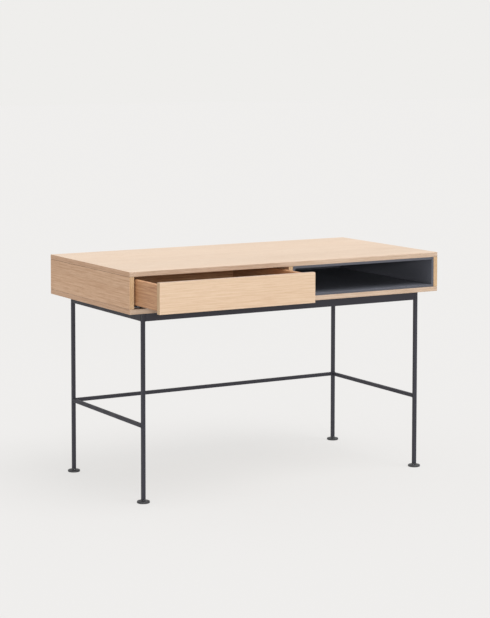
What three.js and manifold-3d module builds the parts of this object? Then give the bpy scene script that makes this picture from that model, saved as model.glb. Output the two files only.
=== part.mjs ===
// Writing desk: an oak-veneered case with one handleless drawer and one open niche, on a welded steel frame.
// Millimetres, +Z up. X runs along the desk and the drawer opens towards -Y.
// The origin is on the floor, in the middle of the desk's outline with its drawer part way out.
import * as THREE from "three";
import { mergeVertices } from "three/addons/utils/BufferGeometryUtils.js";
import Module from "manifold-3d";

// ---- Whole desk ----
const deskWidth = 1200;
const deskDepth = 600;
const deskHeight = 756;
const caseHeight = 136;
const seam = 0.3; // gap between pieces that are glued, screwed or welded together

// ---- Case boards ----
const boardThickness = 16;
const backThickness = 10;
const boardChamfer = 0.8;
const dividerOffset = 0; // middle of the divider from the middle of the desk, towards +X
const linerThickness = 8;
const linerChamfer = 0.6;

// ---- Drawer ----
const drawerOpening = 168; // how far the drawer stands open
const frontThickness = 18;
const frontSideGap = 2.5;
const frontTopGap = 1.5;
const frontBottomGap = 2.5;
const drawerBoard = 15;
const drawerSideGap = 5; // case wall to drawer side
const drawerSideLift = 12.5; // case bottom to the lower edge of the drawer side
const drawerSideDrop = 8; // top of the front to the top of the drawer side
const drawerRearSpace = 72; // behind the closed drawer, in front of the back panel
const drawerSideEase = 2; // chamfer along the upper edges of the drawer sides
const drawerBottomThickness = 8;
const drawerBottomChamfer = 0.4;
const drawerBottomRecess = 13; // lower edge of the drawer side to the underside of its bottom
const grooveDepth = 7;
const grooveClearance = 0.3;

// ---- Undermount runners ----
const sheet = 1.5;
const runnerSideGap = 2; // drawer side to runner channel
const runnerChannelWidth = 22;
const runnerFloorGap = 3;
const runnerFlangeHeight = 22;
const channelWallHeight = 8.5;
const runnerPlay = 0.6;
const middleHeight = 14.7;
const middleLift = 0.8;
const drawerMemberHeight = 11.2;
const runnerFrontGap = 2; // pushed-in drawer front to the cabinet member
const middleFrontGap = 4; // closed inner front to the middle member
const middleShortfall = 60; // how much shorter the middle member is than the cabinet member
const middleShare = 0.5; // the middle member moves half as far as the drawer
const clipWidth = 20;
const clipLength = 45;
const clipHeight = 12.4;
const clipGap = 2; // drawer member to its locking clip
const clipFoot = 12; // flat underside of the clip
const clipHeel = 6.2; // height of the clip's outer face

// ---- Push latch ----
const latchBarrel = 14;
const latchFlangeWidth = 40;
const latchFlangeHeight = 20;
const latchFlangeThickness = 3;
const latchLength = 48;
const plungerDiameter = 8;
const plungerClearance = 0.3;
const plungerTipDiameter = 10;
const plungerTipLength = 4;
const plungerTipEase = 1;
const pushTravel = 3; // how far the closed drawer is pushed in to release it
const latchAir = 0.6; // drawer to plunger with the drawer pushed right in
const latchHeight = 60; // plunger axis above the case bottom

// ---- Steel frame ----
const frameInsetSide = 60;
const frameInsetFront = 32;
const frameInsetBack = 32;
const legSize = 12;
const tubeWall = 1.5;
const tubeRadius = 1.5;
const railHeight = 30;
const stretcherHeight = 250; // floor to the middle of the stretchers
const plateSize = 40;
const plateThickness = 3;

// ---- Feet ----
const footDiameter = 42;
const footThickness = 8;
const footRim = { base: 1.6, lower: 0.4, lowerHeight: 0.6, fullHeight: 1.8, bandHeight: 4.6 };
const footCrown = { shoulder: 0.7, shoulderHeight: 6, slope: 4, slopeHeight: 7.4, hub: 7 };
const footAir = 2; // foot to leg plug with the foot screwed in
const studLength = 34;
const studClearance = 0.25;
const studPoint = 0.8; // chamfer at the end of the stud
const plugFlange = 1.5;
const plugLength = 22;
const plugClearance = 0.3;
const plugChamfer = 0.3;
const plugOverlap = 0.5; // how far the plug's body runs into its flange
const plugWall = 0.95; // between the stud's bore and the plug's flat sides

// ---- Screws ----
const screwDiameter = 4;
const screwHeadDiameter = 8;
const screwHeadHeight = 2.4;
const screwClearance = 0.3;
const screwSeat = 0.1; // under a tightened screw's head
const recessRadius = 0.3; // drive recess, as shares of the head's radius and height
const recessDepth = 0.5;
const headCrown = 0.7; // where the head's flat end stops and its crown meets the rim, likewise
const headRim = 0.55;
const frameScrewBite = 11; // length of screw inside the case bottom
const runnerScrewDiameter = 3;
const runnerScrewHeadDiameter = 6;
const runnerScrewHeadHeight = 1.5;
const runnerScrewBite = 9;
const runnerScrewInset = 60; // runner screw from each end of the cabinet member

// ---- Places worked out from the sizes above ----
const caseFloor = deskHeight - caseHeight;
const caseFront = (drawerOpening - deskDepth) / 2;
const wallHeight = caseHeight - 2 * boardThickness;
const caseHalf = deskWidth / 2;
const caseInnerHalf = caseHalf - boardThickness;
const caseInnerDepth = deskDepth - backThickness;
const dividerLeft = dividerOffset - boardThickness / 2;
const dividerRight = dividerOffset + boardThickness / 2;
const bayCentre = (dividerLeft - caseInnerHalf) / 2;
const bayHalf = (dividerLeft + caseInnerHalf) / 2;
const channelStart = drawerSideGap + drawerBoard + runnerSideGap;
const channelEnd = channelStart + runnerChannelWidth;
const drawerBoxLength = caseInnerDepth - drawerRearSpace - frontThickness;
const drawerUnderside = drawerSideLift + drawerBottomRecess;
const plugBody = legSize - 2 * tubeWall - 2 * plugClearance;
const studBore = plugBody - 2 * plugWall;
const studDiameter = studBore - 2 * studClearance;

// ---- Materials ----
const oak = new THREE.MeshStandardMaterial({ color: 0xdfbf98, roughness: 0.55, metalness: 0 });
const drawerOak = new THREE.MeshStandardMaterial({ color: 0xc69a72, roughness: 0.6, metalness: 0 });
const darkLacquer = new THREE.MeshStandardMaterial({ color: 0x2b2c31, roughness: 0.5, metalness: 0 });
const powderCoat = new THREE.MeshStandardMaterial({ color: 0x3b3c44, roughness: 0.6, metalness: 0.2 });
const zincSteel = new THREE.MeshStandardMaterial({ color: 0xb4b8bd, roughness: 0.35, metalness: 1 });
const darkPlastic = new THREE.MeshStandardMaterial({ color: 0x26262a, roughness: 0.5, metalness: 0 });
const greyPlastic = new THREE.MeshStandardMaterial({ color: 0x8c8f93, roughness: 0.5, metalness: 0 });

// ---- Solids that are joined or cut ----
const wasm = await Module();
wasm.setup();

/** Turns a closed geometry into a solid that can be joined and cut. */
function solidOf(geometry) {
  const bare = geometry.clone();
  bare.deleteAttribute("normal");
  bare.deleteAttribute("uv");
  const merged = mergeVertices(bare, 1e-4);
  const vertProperties = new Float32Array(merged.attributes.position.array);
  const triVerts = new Uint32Array(merged.index.array);
  return new wasm.Manifold(new wasm.Mesh({ numProp: 3, vertProperties, triVerts }));
}

/** Turns a solid back into a geometry. */
function geometryOf(solid) {
  const mesh = solid.getMesh();
  const geometry = new THREE.BufferGeometry();
  geometry.setAttribute("position", new THREE.BufferAttribute(mesh.vertProperties, 3));
  geometry.setIndex(new THREE.BufferAttribute(mesh.triVerts, 1));
  geometry.computeVertexNormals();
  return geometry;
}

/** Cuts each tool out of a geometry. */
function cut(geometry, tools) {
  return geometryOf(tools.reduce((solid, tool) => solid.subtract(solidOf(tool)), solidOf(geometry)));
}

/** Joins geometries that overlap into one. */
function join(geometries) {
  return geometryOf(geometries.map(solidOf).reduce((whole, solid) => whole.add(solid)));
}

// ---- Outlines and sweeps ----

/** A rectangle centred on the origin with its corners cut at 45 degrees. */
function cutRectangle(width, height, corner) {
  const x = width / 2;
  const y = height / 2;
  return new THREE.Shape([
    new THREE.Vector2(-x + corner, -y),
    new THREE.Vector2(x - corner, -y),
    new THREE.Vector2(x, -y + corner),
    new THREE.Vector2(x, y - corner),
    new THREE.Vector2(x - corner, y),
    new THREE.Vector2(-x + corner, y),
    new THREE.Vector2(-x, y - corner),
    new THREE.Vector2(-x, -y + corner),
  ]);
}

/** Draws a rectangle with round corners, centred on the origin, into a shape or a hole. */
function roundRectangle(path, width, height, radius) {
  const x = width / 2 - radius;
  const y = height / 2 - radius;
  const quarter = Math.PI / 2;
  path.absarc(x, -y, radius, -quarter, 0);
  path.absarc(x, y, radius, 0, quarter);
  path.absarc(-x, y, radius, quarter, 2 * quarter);
  path.absarc(-x, -y, radius, 2 * quarter, 3 * quarter);
  path.closePath();
  return path;
}

/** Sweeps an outline along +Z from zero. */
function alongZ(shape, length, curveSegments = 3) {
  return new THREE.ExtrudeGeometry(shape, { depth: length, bevelEnabled: false, curveSegments });
}

/** Sweeps an outline drawn in X and Z along +Y from zero. */
function alongY(shape, length, curveSegments = 3) {
  return alongZ(shape, length, curveSegments).rotateX(Math.PI / 2).translate(0, length, 0);
}

/** Sweeps an outline drawn in Y and Z along +X from zero. */
function alongX(shape, length, curveSegments = 3) {
  return alongZ(shape, length, curveSegments).rotateX(Math.PI / 2).rotateZ(Math.PI / 2);
}

/** A board centred on the origin, with every edge and corner chamfered. */
function board(width, depth, height, chamfer) {
  const geometry = new THREE.ExtrudeGeometry(cutRectangle(width, depth, chamfer), {
    depth: height - 2 * chamfer,
    bevelEnabled: true,
    bevelThickness: chamfer,
    bevelSize: chamfer,
    bevelOffset: -chamfer,
    bevelSegments: 1,
  });
  return geometry.translate(0, 0, chamfer - height / 2);
}

/** A square or oblong steel tube swept by one of the functions above, open at both ends. */
function tube(sweep, width, height, length) {
  const outline = roundRectangle(new THREE.Shape(), width, height, tubeRadius);
  const bore = roundRectangle(new THREE.Path(), width - 2 * tubeWall, height - 2 * tubeWall, tubeRadius / 2);
  outline.holes.push(bore);
  return sweep(outline, length);
}

/** A round bar or a drill along +Z, from zero. */
function rod(diameter, length, segments = 20) {
  return new THREE.CylinderGeometry(diameter / 2, diameter / 2, length, segments)
    .rotateX(Math.PI / 2)
    .translate(0, 0, length / 2);
}

/** A solid of revolution about Z from a profile of [radius, height] pairs that starts and ends on the axis. */
function turned(profile, segments = 24) {
  const points = profile.map(([radius, height]) => new THREE.Vector2(radius, height));
  return new THREE.LatheGeometry(points, segments).rotateX(Math.PI / 2);
}

/** A pan-head screw pointing up +Z, with its head's seat at zero and a countersunk drive recess below. */
function screw(diameter, length, headDiameter, headHeight) {
  const head = headDiameter / 2;
  const shank = diameter / 2;
  return turned([
    [0, headHeight * (recessDepth - 1)],
    [head * recessRadius, -headHeight],
    [head * headCrown, -headHeight],
    [head, -headHeight * headRim],
    [head, 0],
    [shank, 0],
    [shank, length - diameter],
    [0, length],
  ], 20);
}

/** Adds a named mesh to a group. */
function add(group, name, geometry, material, x, y, z) {
  const mesh = new THREE.Mesh(geometry, material);
  mesh.name = name;
  mesh.position.set(x, y, z);
  group.add(mesh);
}

/** Adds a chamfered board that fills the box between two corners. */
function addBoard(group, name, low, high, material, chamfer = boardChamfer, tools = []) {
  const size = high.map((value, axis) => value - low[axis]);
  const middle = high.map((value, axis) => (value + low[axis]) / 2);
  const solid = board(...size, chamfer);
  const placedTools = tools.map((tool) => tool.translate(-middle[0], -middle[1], -middle[2]));
  add(group, name, placedTools.length ? cut(solid, placedTools) : solid, material, ...middle);
}

/** The four corners of the steel frame, as names, signs and leg axes from the case's front. */
const corners = ["front_left", "front_right", "back_left", "back_right"].map((name) => {
  const sideways = name.endsWith("left") ? -1 : 1;
  const front = name.startsWith("front");
  const legX = sideways * (caseHalf - frameInsetSide - legSize / 2);
  const legY = front ? frameInsetFront + legSize / 2 : deskDepth - frameInsetBack - legSize / 2;
  const inwards = front ? 1 : -1;
  const plateX = legX - sideways * (legSize / 2 + seam + plateSize / 2);
  const plateY = legY + inwards * (legSize / 2 + seam + plateSize / 2);
  return { name, legX, legY, plateX, plateY };
});

/** The two sides of the drawer bay, and which way the bay's wall lies. */
const baySides = [
  { name: "left", outwards: -1 },
  { name: "right", outwards: 1 },
];
const cabinetMemberFront = frontThickness + pushTravel + runnerFrontGap;
const cabinetMemberLength = drawerBoxLength - frontThickness;
const runnerScrewPlaces = [
  cabinetMemberFront + runnerScrewInset,
  cabinetMemberFront + cabinetMemberLength - runnerScrewInset,
];
const runnerScrewHeight = runnerFloorGap + runnerFlangeHeight - runnerScrewHeadDiameter;

// ---- Case: X from the desk's middle, Y from its front, Z from its underside ----

/** Pilot holes for the screws that hold the case on the frame. */
function framePilots() {
  return corners.map(({ plateX, plateY }) =>
    rod(screwDiameter + 2 * screwClearance, frameScrewBite + seam).translate(plateX, plateY, -seam / 2));
}

/** Pilot holes for a cabinet member's screws, from the wall's face at faceX into the wall. */
function runnerPilots(faceX, outwards) {
  const hole = runnerScrewDiameter + 2 * screwClearance;
  return runnerScrewPlaces.map((y) =>
    rod(hole, runnerScrewBite + 2 * screwClearance)
      .translate(0, 0, -screwClearance)
      .rotateY(outwards * Math.PI / 2)
      .translate(faceX, y, boardThickness + runnerScrewHeight));
}

function buildCase() {
  const group = new THREE.Group();
  const wallLow = boardThickness + seam;
  const wallHigh = caseHeight - boardThickness - seam;
  addBoard(group, "desk_top", [-caseHalf, 0, caseHeight - boardThickness],
    [caseHalf, deskDepth, caseHeight], oak);
  addBoard(group, "case_bottom", [-caseHalf, 0, 0], [caseHalf, deskDepth, boardThickness], oak,
    boardChamfer, framePilots());
  addBoard(group, "side_left", [-caseHalf, 0, wallLow], [-caseInnerHalf, deskDepth, wallHigh], oak,
    boardChamfer, runnerPilots(-caseInnerHalf, -1));
  addBoard(group, "side_right", [caseInnerHalf, 0, wallLow], [caseHalf, deskDepth, wallHigh], oak);
  addBoard(group, "centre_divider", [dividerLeft, 0, wallLow],
    [dividerRight, caseInnerDepth - seam, wallHigh], oak, boardChamfer, runnerPilots(dividerLeft, 1));
  addBoard(group, "back_panel", [-caseInnerHalf + seam, caseInnerDepth, wallLow],
    [caseInnerHalf - seam, deskDepth, wallHigh], oak);
  return group;
}

/** The niche's dark lining: five thin boards, flush with the front of the case. */
function buildNicheLining() {
  const group = new THREE.Group();
  const left = dividerRight + seam;
  const right = caseInnerHalf - seam;
  const back = caseInnerDepth - seam;
  const low = boardThickness + seam;
  const high = caseHeight - boardThickness - seam;
  const t = linerThickness;
  const panel = (name, from, to) => addBoard(group, name, from, to, darkLacquer, linerChamfer);
  panel("niche_top", [left, 0, high - t], [right, back, high]);
  panel("niche_floor", [left, 0, low], [right, back, low + t]);
  panel("niche_left", [left, 0, low + t + seam], [left + t, back, high - t - seam]);
  panel("niche_right", [right - t, 0, low + t + seam], [right, back, high - t - seam]);
  panel("niche_back", [left + t + seam, back - t, low + t + seam], [right - t - seam, back, high - t - seam]);
  return group;
}

// ---- Drawer: X from the middle of its bay, Y from the front's face, Z from the case bottom's upper face ----

/** The outline of a left-hand drawer side in X and Z, grooved for the bottom, its top edge eased. */
function drawerSideOutline(height) {
  const grooveLow = drawerBottomRecess - grooveClearance;
  const grooveHigh = drawerBottomRecess + drawerBottomThickness + grooveClearance;
  return [
    [0, 0], [drawerBoard, 0], [drawerBoard, grooveLow], [drawerBoard - grooveDepth, grooveLow],
    [drawerBoard - grooveDepth, grooveHigh], [drawerBoard, grooveHigh], [drawerBoard, height - drawerSideEase],
    [drawerBoard - drawerSideEase, height], [drawerSideEase, height], [0, height - drawerSideEase],
  ];
}

/** Mirrors an outline measured inwards from a bay wall onto the left or right side of the bay. */
function baySideShape(outline, outwards, inset) {
  return new THREE.Shape(outline.map(([inwards, up]) =>
    new THREE.Vector2(outwards * (bayHalf - inset - inwards), up)));
}

function buildDrawer() {
  const group = new THREE.Group();
  const frontHalf = bayHalf - frontSideGap;
  const frontTop = wallHeight - frontTopGap;
  const sideTop = frontTop - drawerSideDrop;
  const boxFront = frontThickness + seam;
  const boxBack = frontThickness + drawerBoxLength;
  const innerHalf = bayHalf - drawerSideGap - drawerBoard - seam;
  const bottomLow = drawerUnderside;
  const bottomHigh = bottomLow + drawerBottomThickness;
  addBoard(group, "drawer_front", [-frontHalf, 0, frontBottomGap], [frontHalf, frontThickness, frontTop], oak);
  const sideOutline = drawerSideOutline(sideTop - drawerSideLift);
  for (const { name, outwards } of baySides) {
    const side = alongY(baySideShape(sideOutline, outwards, drawerSideGap), boxBack - boxFront);
    add(group, `drawer_side_${name}`, side, drawerOak, 0, boxFront, drawerSideLift);
  }
  const grooveHeight = drawerBottomThickness + 2 * grooveClearance;
  const groove = new THREE.BoxGeometry(4 * innerHalf, 2 * grooveDepth, grooveHeight);
  groove.translate(0, boxFront + drawerBoard, (bottomLow + bottomHigh) / 2);
  addBoard(group, "drawer_inner_front", [-innerHalf, boxFront, drawerSideLift],
    [innerHalf, boxFront + drawerBoard, sideTop], drawerOak, boardChamfer, [groove]);
  addBoard(group, "drawer_back", [-innerHalf, boxBack - drawerBoard, bottomHigh + seam],
    [innerHalf, boxBack, sideTop], drawerOak);
  const bottomHalf = innerHalf + seam + grooveDepth - grooveClearance;
  const bottomFront = boxFront + drawerBoard - grooveDepth + grooveClearance;
  addBoard(group, "drawer_bottom", [-bottomHalf, bottomFront, bottomLow],
    [bottomHalf, boxBack, bottomHigh], drawerOak, drawerBottomChamfer);
  const memberTop = drawerUnderside - seam;
  const memberFront = boxFront + drawerBoard + seam;
  const memberOutline = [
    [channelStart, memberTop - drawerMemberHeight], [channelStart + sheet, memberTop - drawerMemberHeight],
    [channelStart + sheet, memberTop - sheet], [channelEnd - sheet, memberTop - sheet],
    [channelEnd - sheet, memberTop - drawerMemberHeight], [channelEnd, memberTop - drawerMemberHeight],
    [channelEnd, memberTop], [channelStart, memberTop],
  ];
  const clipStart = channelEnd + clipGap;
  const clipOutline = [
    [clipStart, memberTop - clipHeight], [clipStart + clipFoot, memberTop - clipHeight],
    [clipStart + clipWidth, memberTop - clipHeel], [clipStart + clipWidth, memberTop],
    [clipStart, memberTop],
  ];
  for (const { name, outwards } of baySides) {
    const member = alongY(baySideShape(memberOutline, outwards, 0), boxBack - memberFront - drawerBoard);
    add(group, `runner_drawer_${name}`, member, zincSteel, 0, memberFront, 0);
    const clip = alongY(baySideShape(clipOutline, outwards, 0), clipLength);
    add(group, `runner_clip_${name}`, clip, greyPlastic, 0, memberFront, 0);
  }
  return group;
}

// ---- Runners in the bay: X from the middle of the bay, Y from the case's front, Z from the case bottom ----

/** The fixed member of a runner: a flange on the wall, a web under the drawer side and an open channel. */
function cabinetMemberOutline() {
  const low = runnerFloorGap;
  const web = low + sheet;
  const wall = low + channelWallHeight;
  return [
    [seam, low], [channelEnd, low], [channelEnd, wall], [channelEnd - sheet, wall],
    [channelEnd - sheet, web], [channelStart + sheet, web], [channelStart + sheet, wall], [channelStart, wall],
    [channelStart, web], [seam + sheet, web], [seam + sheet, low + runnerFlangeHeight],
    [seam, low + runnerFlangeHeight],
  ];
}

/** The middle member: an upturned channel that runs between the other two. */
function middleMemberOutline() {
  const left = channelStart + sheet + runnerPlay;
  const right = channelEnd - sheet - runnerPlay;
  const low = runnerFloorGap + sheet + middleLift;
  const high = low + middleHeight;
  return [
    [left, low], [left + sheet, low], [left + sheet, high - sheet], [right - sheet, high - sheet],
    [right - sheet, low], [right, low], [right, high], [left, high],
  ];
}

function buildRunners() {
  const group = new THREE.Group();
  const middleClosed = frontThickness + drawerBoard + 2 * seam + middleFrontGap;
  const middleFront = middleClosed - drawerOpening * middleShare;
  const middleLength = cabinetMemberLength - middleShortfall;
  for (const { name, outwards } of baySides) {
    const cabinet = cut(
      alongY(baySideShape(cabinetMemberOutline(), outwards, 0), cabinetMemberLength),
      runnerScrewPlaces.map((y) =>
        rod(runnerScrewDiameter + 2 * screwClearance, 4 * sheet)
          .translate(0, 0, -2 * sheet)
          .rotateY(outwards * Math.PI / 2)
          .translate(outwards * (bayHalf - seam - sheet / 2), y - cabinetMemberFront, runnerScrewHeight)),
    );
    add(group, `runner_cabinet_${name}`, cabinet, zincSteel, 0, cabinetMemberFront, 0);
    const middle = alongY(baySideShape(middleMemberOutline(), outwards, 0), middleLength);
    add(group, `runner_middle_${name}`, middle, zincSteel, 0, middleFront, 0);
    runnerScrewPlaces.forEach((y, index) => {
      const fixing = screw(runnerScrewDiameter, runnerScrewBite, runnerScrewHeadDiameter, runnerScrewHeadHeight)
        .rotateY(outwards * Math.PI / 2);
      const seatX = outwards * (bayHalf - seam - sheet - screwSeat);
      add(group, `runner_screw_${name}_${index + 1}`, fixing, zincSteel, seatX, y, runnerScrewHeight);
    });
  }
  return group;
}

/** The push latch on the back panel: a flanged housing and the sprung plunger that meets the drawer. */
function buildLatch() {
  const group = new THREE.Group();
  const bore = plungerDiameter + 2 * plungerClearance;
  const flange = board(latchFlangeWidth, latchFlangeThickness, latchFlangeHeight, linerChamfer)
    .translate(0, -latchFlangeThickness / 2, 0);
  const barrel = board(latchBarrel, latchLength, latchBarrel, linerChamfer).translate(0, -latchLength / 2, 0);
  const drill = rod(bore, latchLength - 2 * latchFlangeThickness)
    .rotateX(Math.PI / 2)
    .translate(0, -2 * latchFlangeThickness, 0);
  const housingBack = caseInnerDepth - seam;
  add(group, "latch_housing", cut(join([flange, barrel]), [drill]), darkPlastic, 0, housingBack, latchHeight);
  const tipFront = frontThickness + drawerBoxLength + pushTravel + latchAir;
  const plungerEnd = housingBack - 2 * latchFlangeThickness - pushTravel - 2 * plungerClearance;
  const length = plungerEnd - tipFront;
  const tip = plungerTipDiameter / 2;
  const shaft = plungerDiameter / 2;
  const plunger = turned([
    [0, 0], [tip - plungerTipEase, 0], [tip, plungerTipEase], [tip, plungerTipLength], [shaft, plungerTipLength],
    [shaft, length], [0, length],
  ]).rotateX(-Math.PI / 2);
  add(group, "latch_plunger", plunger, greyPlastic, 0, tipFront, latchHeight);
  return group;
}

// ---- Steel frame: X from the desk's middle, Y from the case's front, Z from the floor ----

function buildFrame() {
  const group = new THREE.Group();
  const legLow = footThickness + footAir + plugFlange + seam;
  const legX = corners[1].legX;
  const frontY = corners[0].legY;
  const backY = corners[2].legY;
  const acrossLength = 2 * legX - legSize - 2 * seam;
  const deepLength = backY - frontY - legSize - 2 * seam;
  const railZ = caseFloor - seam - railHeight / 2;
  const bars = [
    ["rail_front", alongX, railHeight, railZ, -acrossLength / 2, frontY],
    ["rail_back", alongX, railHeight, railZ, -acrossLength / 2, backY],
    ["stretcher_back", alongX, legSize, stretcherHeight, -acrossLength / 2, backY],
  ];
  for (const { name, outwards } of baySides) {
    const deepFront = frontY + legSize / 2 + seam;
    bars.push([`rail_${name}`, alongY, railHeight, railZ, outwards * legX, deepFront]);
    bars.push([`stretcher_${name}`, alongY, legSize, stretcherHeight, outwards * legX, deepFront]);
  }
  for (const [name, sweep, height, z, x, y] of bars) {
    const length = sweep === alongX ? acrossLength : deepLength;
    add(group, name, tube(sweep, legSize, height, length), powderCoat, x, y, z);
  }
  for (const corner of corners) {
    const leg = tube(alongZ, legSize, legSize, caseFloor - seam - legLow);
    add(group, `leg_${corner.name}`, leg, powderCoat, corner.legX, corner.legY, legLow);
  }
  return group;
}

function buildFrameFixings() {
  const group = new THREE.Group();
  const plateTop = caseFloor - seam;
  for (const { name, plateX, plateY } of corners) {
    const plate = board(plateSize - seam, plateSize - seam, plateThickness, linerChamfer)
      .translate(0, 0, -plateThickness / 2);
    const hole = rod(screwDiameter + 2 * screwClearance, 3 * plateThickness)
      .translate(0, 0, -2 * plateThickness);
    add(group, `frame_plate_${name}`, cut(plate, [hole]), powderCoat, plateX, plateY, plateTop);
    const seat = plateTop - plateThickness - screwSeat;
    const length = caseFloor + frameScrewBite - screwClearance - seat;
    add(group, `frame_screw_${name}`, screw(screwDiameter, length, screwHeadDiameter, screwHeadHeight),
      zincSteel, plateX, plateY, seat);
  }
  return group;
}

/** A levelling foot: a disc with a rounded rim and a sloping upper face, and its threaded stud. */
function footGeometry() {
  const rim = footDiameter / 2;
  const stud = studDiameter / 2;
  const top = footThickness + studLength;
  return turned([
    [0, 0], [rim - footRim.base, 0], [rim - footRim.lower, footRim.lowerHeight], [rim, footRim.fullHeight],
    [rim, footRim.bandHeight], [rim - footCrown.shoulder, footCrown.shoulderHeight],
    [rim - footCrown.slope, footCrown.slopeHeight], [rim - footCrown.hub, footThickness],
    [stud, footThickness], [stud, top - studPoint], [stud - studPoint, top], [0, top],
  ], 32);
}

/** The plug in the end of a leg: a flange as wide as the tube, a body inside it, and the stud's bore. */
function plugGeometry() {
  const flange = board(legSize, legSize, plugFlange, plugChamfer).translate(0, 0, plugFlange / 2);
  const body = board(plugBody, plugBody, plugLength, plugChamfer)
    .translate(0, 0, plugFlange + plugLength / 2 - plugOverlap);
  const bore = rod(studBore, plugLength + 4 * plugFlange, 24).translate(0, 0, -plugFlange);
  return cut(join([flange, body]), [bore]);
}

function buildFeet() {
  const group = new THREE.Group();
  for (const { name, legX, legY } of corners) {
    add(group, `leg_plug_${name}`, plugGeometry(), darkPlastic, legX, legY, footThickness + footAir);
    add(group, `foot_${name}`, footGeometry(), darkPlastic, legX, legY, 0);
  }
  return group;
}

// ---- The whole desk ----
const desk = new THREE.Group();

/** Puts a group into the desk, measured from the case's front at the given height above the floor. */
function place(group, x, y, z) {
  group.position.set(x, caseFront + y, z);
  desk.add(group);
}

place(buildCase(), 0, 0, caseFloor);
place(buildNicheLining(), 0, 0, caseFloor);
place(buildDrawer(), bayCentre, -drawerOpening, caseFloor + boardThickness);
place(buildRunners(), bayCentre, 0, caseFloor + boardThickness);
place(buildLatch(), bayCentre, 0, caseFloor + boardThickness);
place(buildFrame(), 0, 0, 0);
place(buildFrameFixings(), 0, 0, 0);
place(buildFeet(), 0, 0, 0);

export default desk;
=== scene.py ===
"""The looks of a writing desk: oak-veneered case, push-to-open drawer, dark niche and square-tube frame.

Every length is in metres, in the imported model's frame: X runs along the desk, -Y is its front, +Z is up and
the floor is at zero.
"""

from __future__ import annotations

import logging
import math
from dataclasses import dataclass, field
from enum import Enum

import bpy
import bmesh
import numpy as np
from bpy.types import Material, Mesh, Node, NodeSocket, NodeTree, Object
from mathutils import Matrix, Vector

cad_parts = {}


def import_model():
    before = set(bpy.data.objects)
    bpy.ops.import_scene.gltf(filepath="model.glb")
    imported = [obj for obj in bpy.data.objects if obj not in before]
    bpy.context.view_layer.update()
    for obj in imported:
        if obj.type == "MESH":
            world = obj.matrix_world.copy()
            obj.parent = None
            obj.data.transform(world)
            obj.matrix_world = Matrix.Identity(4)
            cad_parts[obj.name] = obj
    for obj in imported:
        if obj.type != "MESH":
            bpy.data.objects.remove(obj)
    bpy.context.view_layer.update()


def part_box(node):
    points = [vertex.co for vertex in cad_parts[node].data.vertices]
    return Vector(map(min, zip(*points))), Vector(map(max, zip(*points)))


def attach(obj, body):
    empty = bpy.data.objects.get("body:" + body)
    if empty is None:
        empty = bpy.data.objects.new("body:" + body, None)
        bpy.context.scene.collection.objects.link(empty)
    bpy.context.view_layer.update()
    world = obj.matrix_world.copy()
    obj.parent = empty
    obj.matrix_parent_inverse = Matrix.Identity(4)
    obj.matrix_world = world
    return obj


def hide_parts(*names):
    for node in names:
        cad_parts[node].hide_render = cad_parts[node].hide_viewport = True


Pair = tuple[float, float]
Triple = tuple[float, float, float]
LOG = logging.getLogger("desk")
MM = 0.001
CORNERS = ("front_left", "front_right", "back_left", "back_right")
SIDES = ("left", "right")
# A weld bead's facets at each corner and round itself, its ripple's share of its radius, and the angle in
# radians by which the ripple turns from row to row.
BEAD_STEPS, BEAD_FACETS, BEAD_RIPPLE, BEAD_TURN = 6, 10, 0.12, 2.4


class Grain(Enum):
    """Which way a board's grain runs, as the turn that lays the grain along X."""

    ALONG_X = (0.0, 0.0, 0.0)
    ALONG_Y = (0.0, 0.0, -math.pi / 2)
    ALONG_Z = (0.0, math.pi / 2, 0.0)


# ---------------------------------------------------------------- colours and shader nodes


def linear(hex_colour: str) -> tuple[float, float, float, float]:
    """Turns an sRGB hex colour into linear light.

    Args:
        hex_colour: six hex digits, such as "DFC7A8".

    Returns:
        Red, green, blue and an alpha of one, each from 0 to 1.
    """
    values = [int(hex_colour[i : i + 2], 16) / 255 for i in (0, 2, 4)]
    return (*[v / 12.92 if v <= 0.04045 else ((v + 0.055) / 1.055) ** 2.4 for v in values], 1.0)


def add_node(tree: NodeTree, kind: str, inputs: dict | None = None,
             to: NodeSocket | None = None, **settings) -> Node:
    """Adds a shader node with its settings and links.

    Args:
        tree: the material's or world's node tree.
        kind: the type's name, such as "Math" or "TexNoise".
        inputs: each input's name or number, with a constant or the socket to link to it.
        to: the input that takes the node's first output.
        **settings: properties of the node itself.

    Returns:
        The new node.
    """
    node = tree.nodes.new(f"ShaderNode{kind}")
    for key, value in settings.items():
        setattr(node, key, value)
    for key, value in (inputs or {}).items():
        if isinstance(value, NodeSocket):
            tree.links.new(value, node.inputs[key])
        else:
            node.inputs[key].default_value = value
    if to is not None:
        tree.links.new(node.outputs[0], to)
    return node


def new_material(name: str) -> tuple[Material, NodeTree, Node]:
    """Makes an empty node material.

    Args:
        name: the material's name.

    Returns:
        The material, its node tree and its Principled shader, already linked to the output.
    """
    material = bpy.data.materials.new(name)
    material.use_nodes = True
    tree = material.node_tree
    tree.nodes.clear()
    shader = add_node(tree, "BsdfPrincipled")
    add_node(tree, "OutputMaterial", {"Surface": shader.outputs["BSDF"]})
    return material, tree, shader


# The mix node has sockets of one name for every type of data: these are its colour ones.
MIX_AMOUNT, MIX_FIRST, MIX_SECOND, MIX_RESULT = 0, 6, 7, 2


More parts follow.
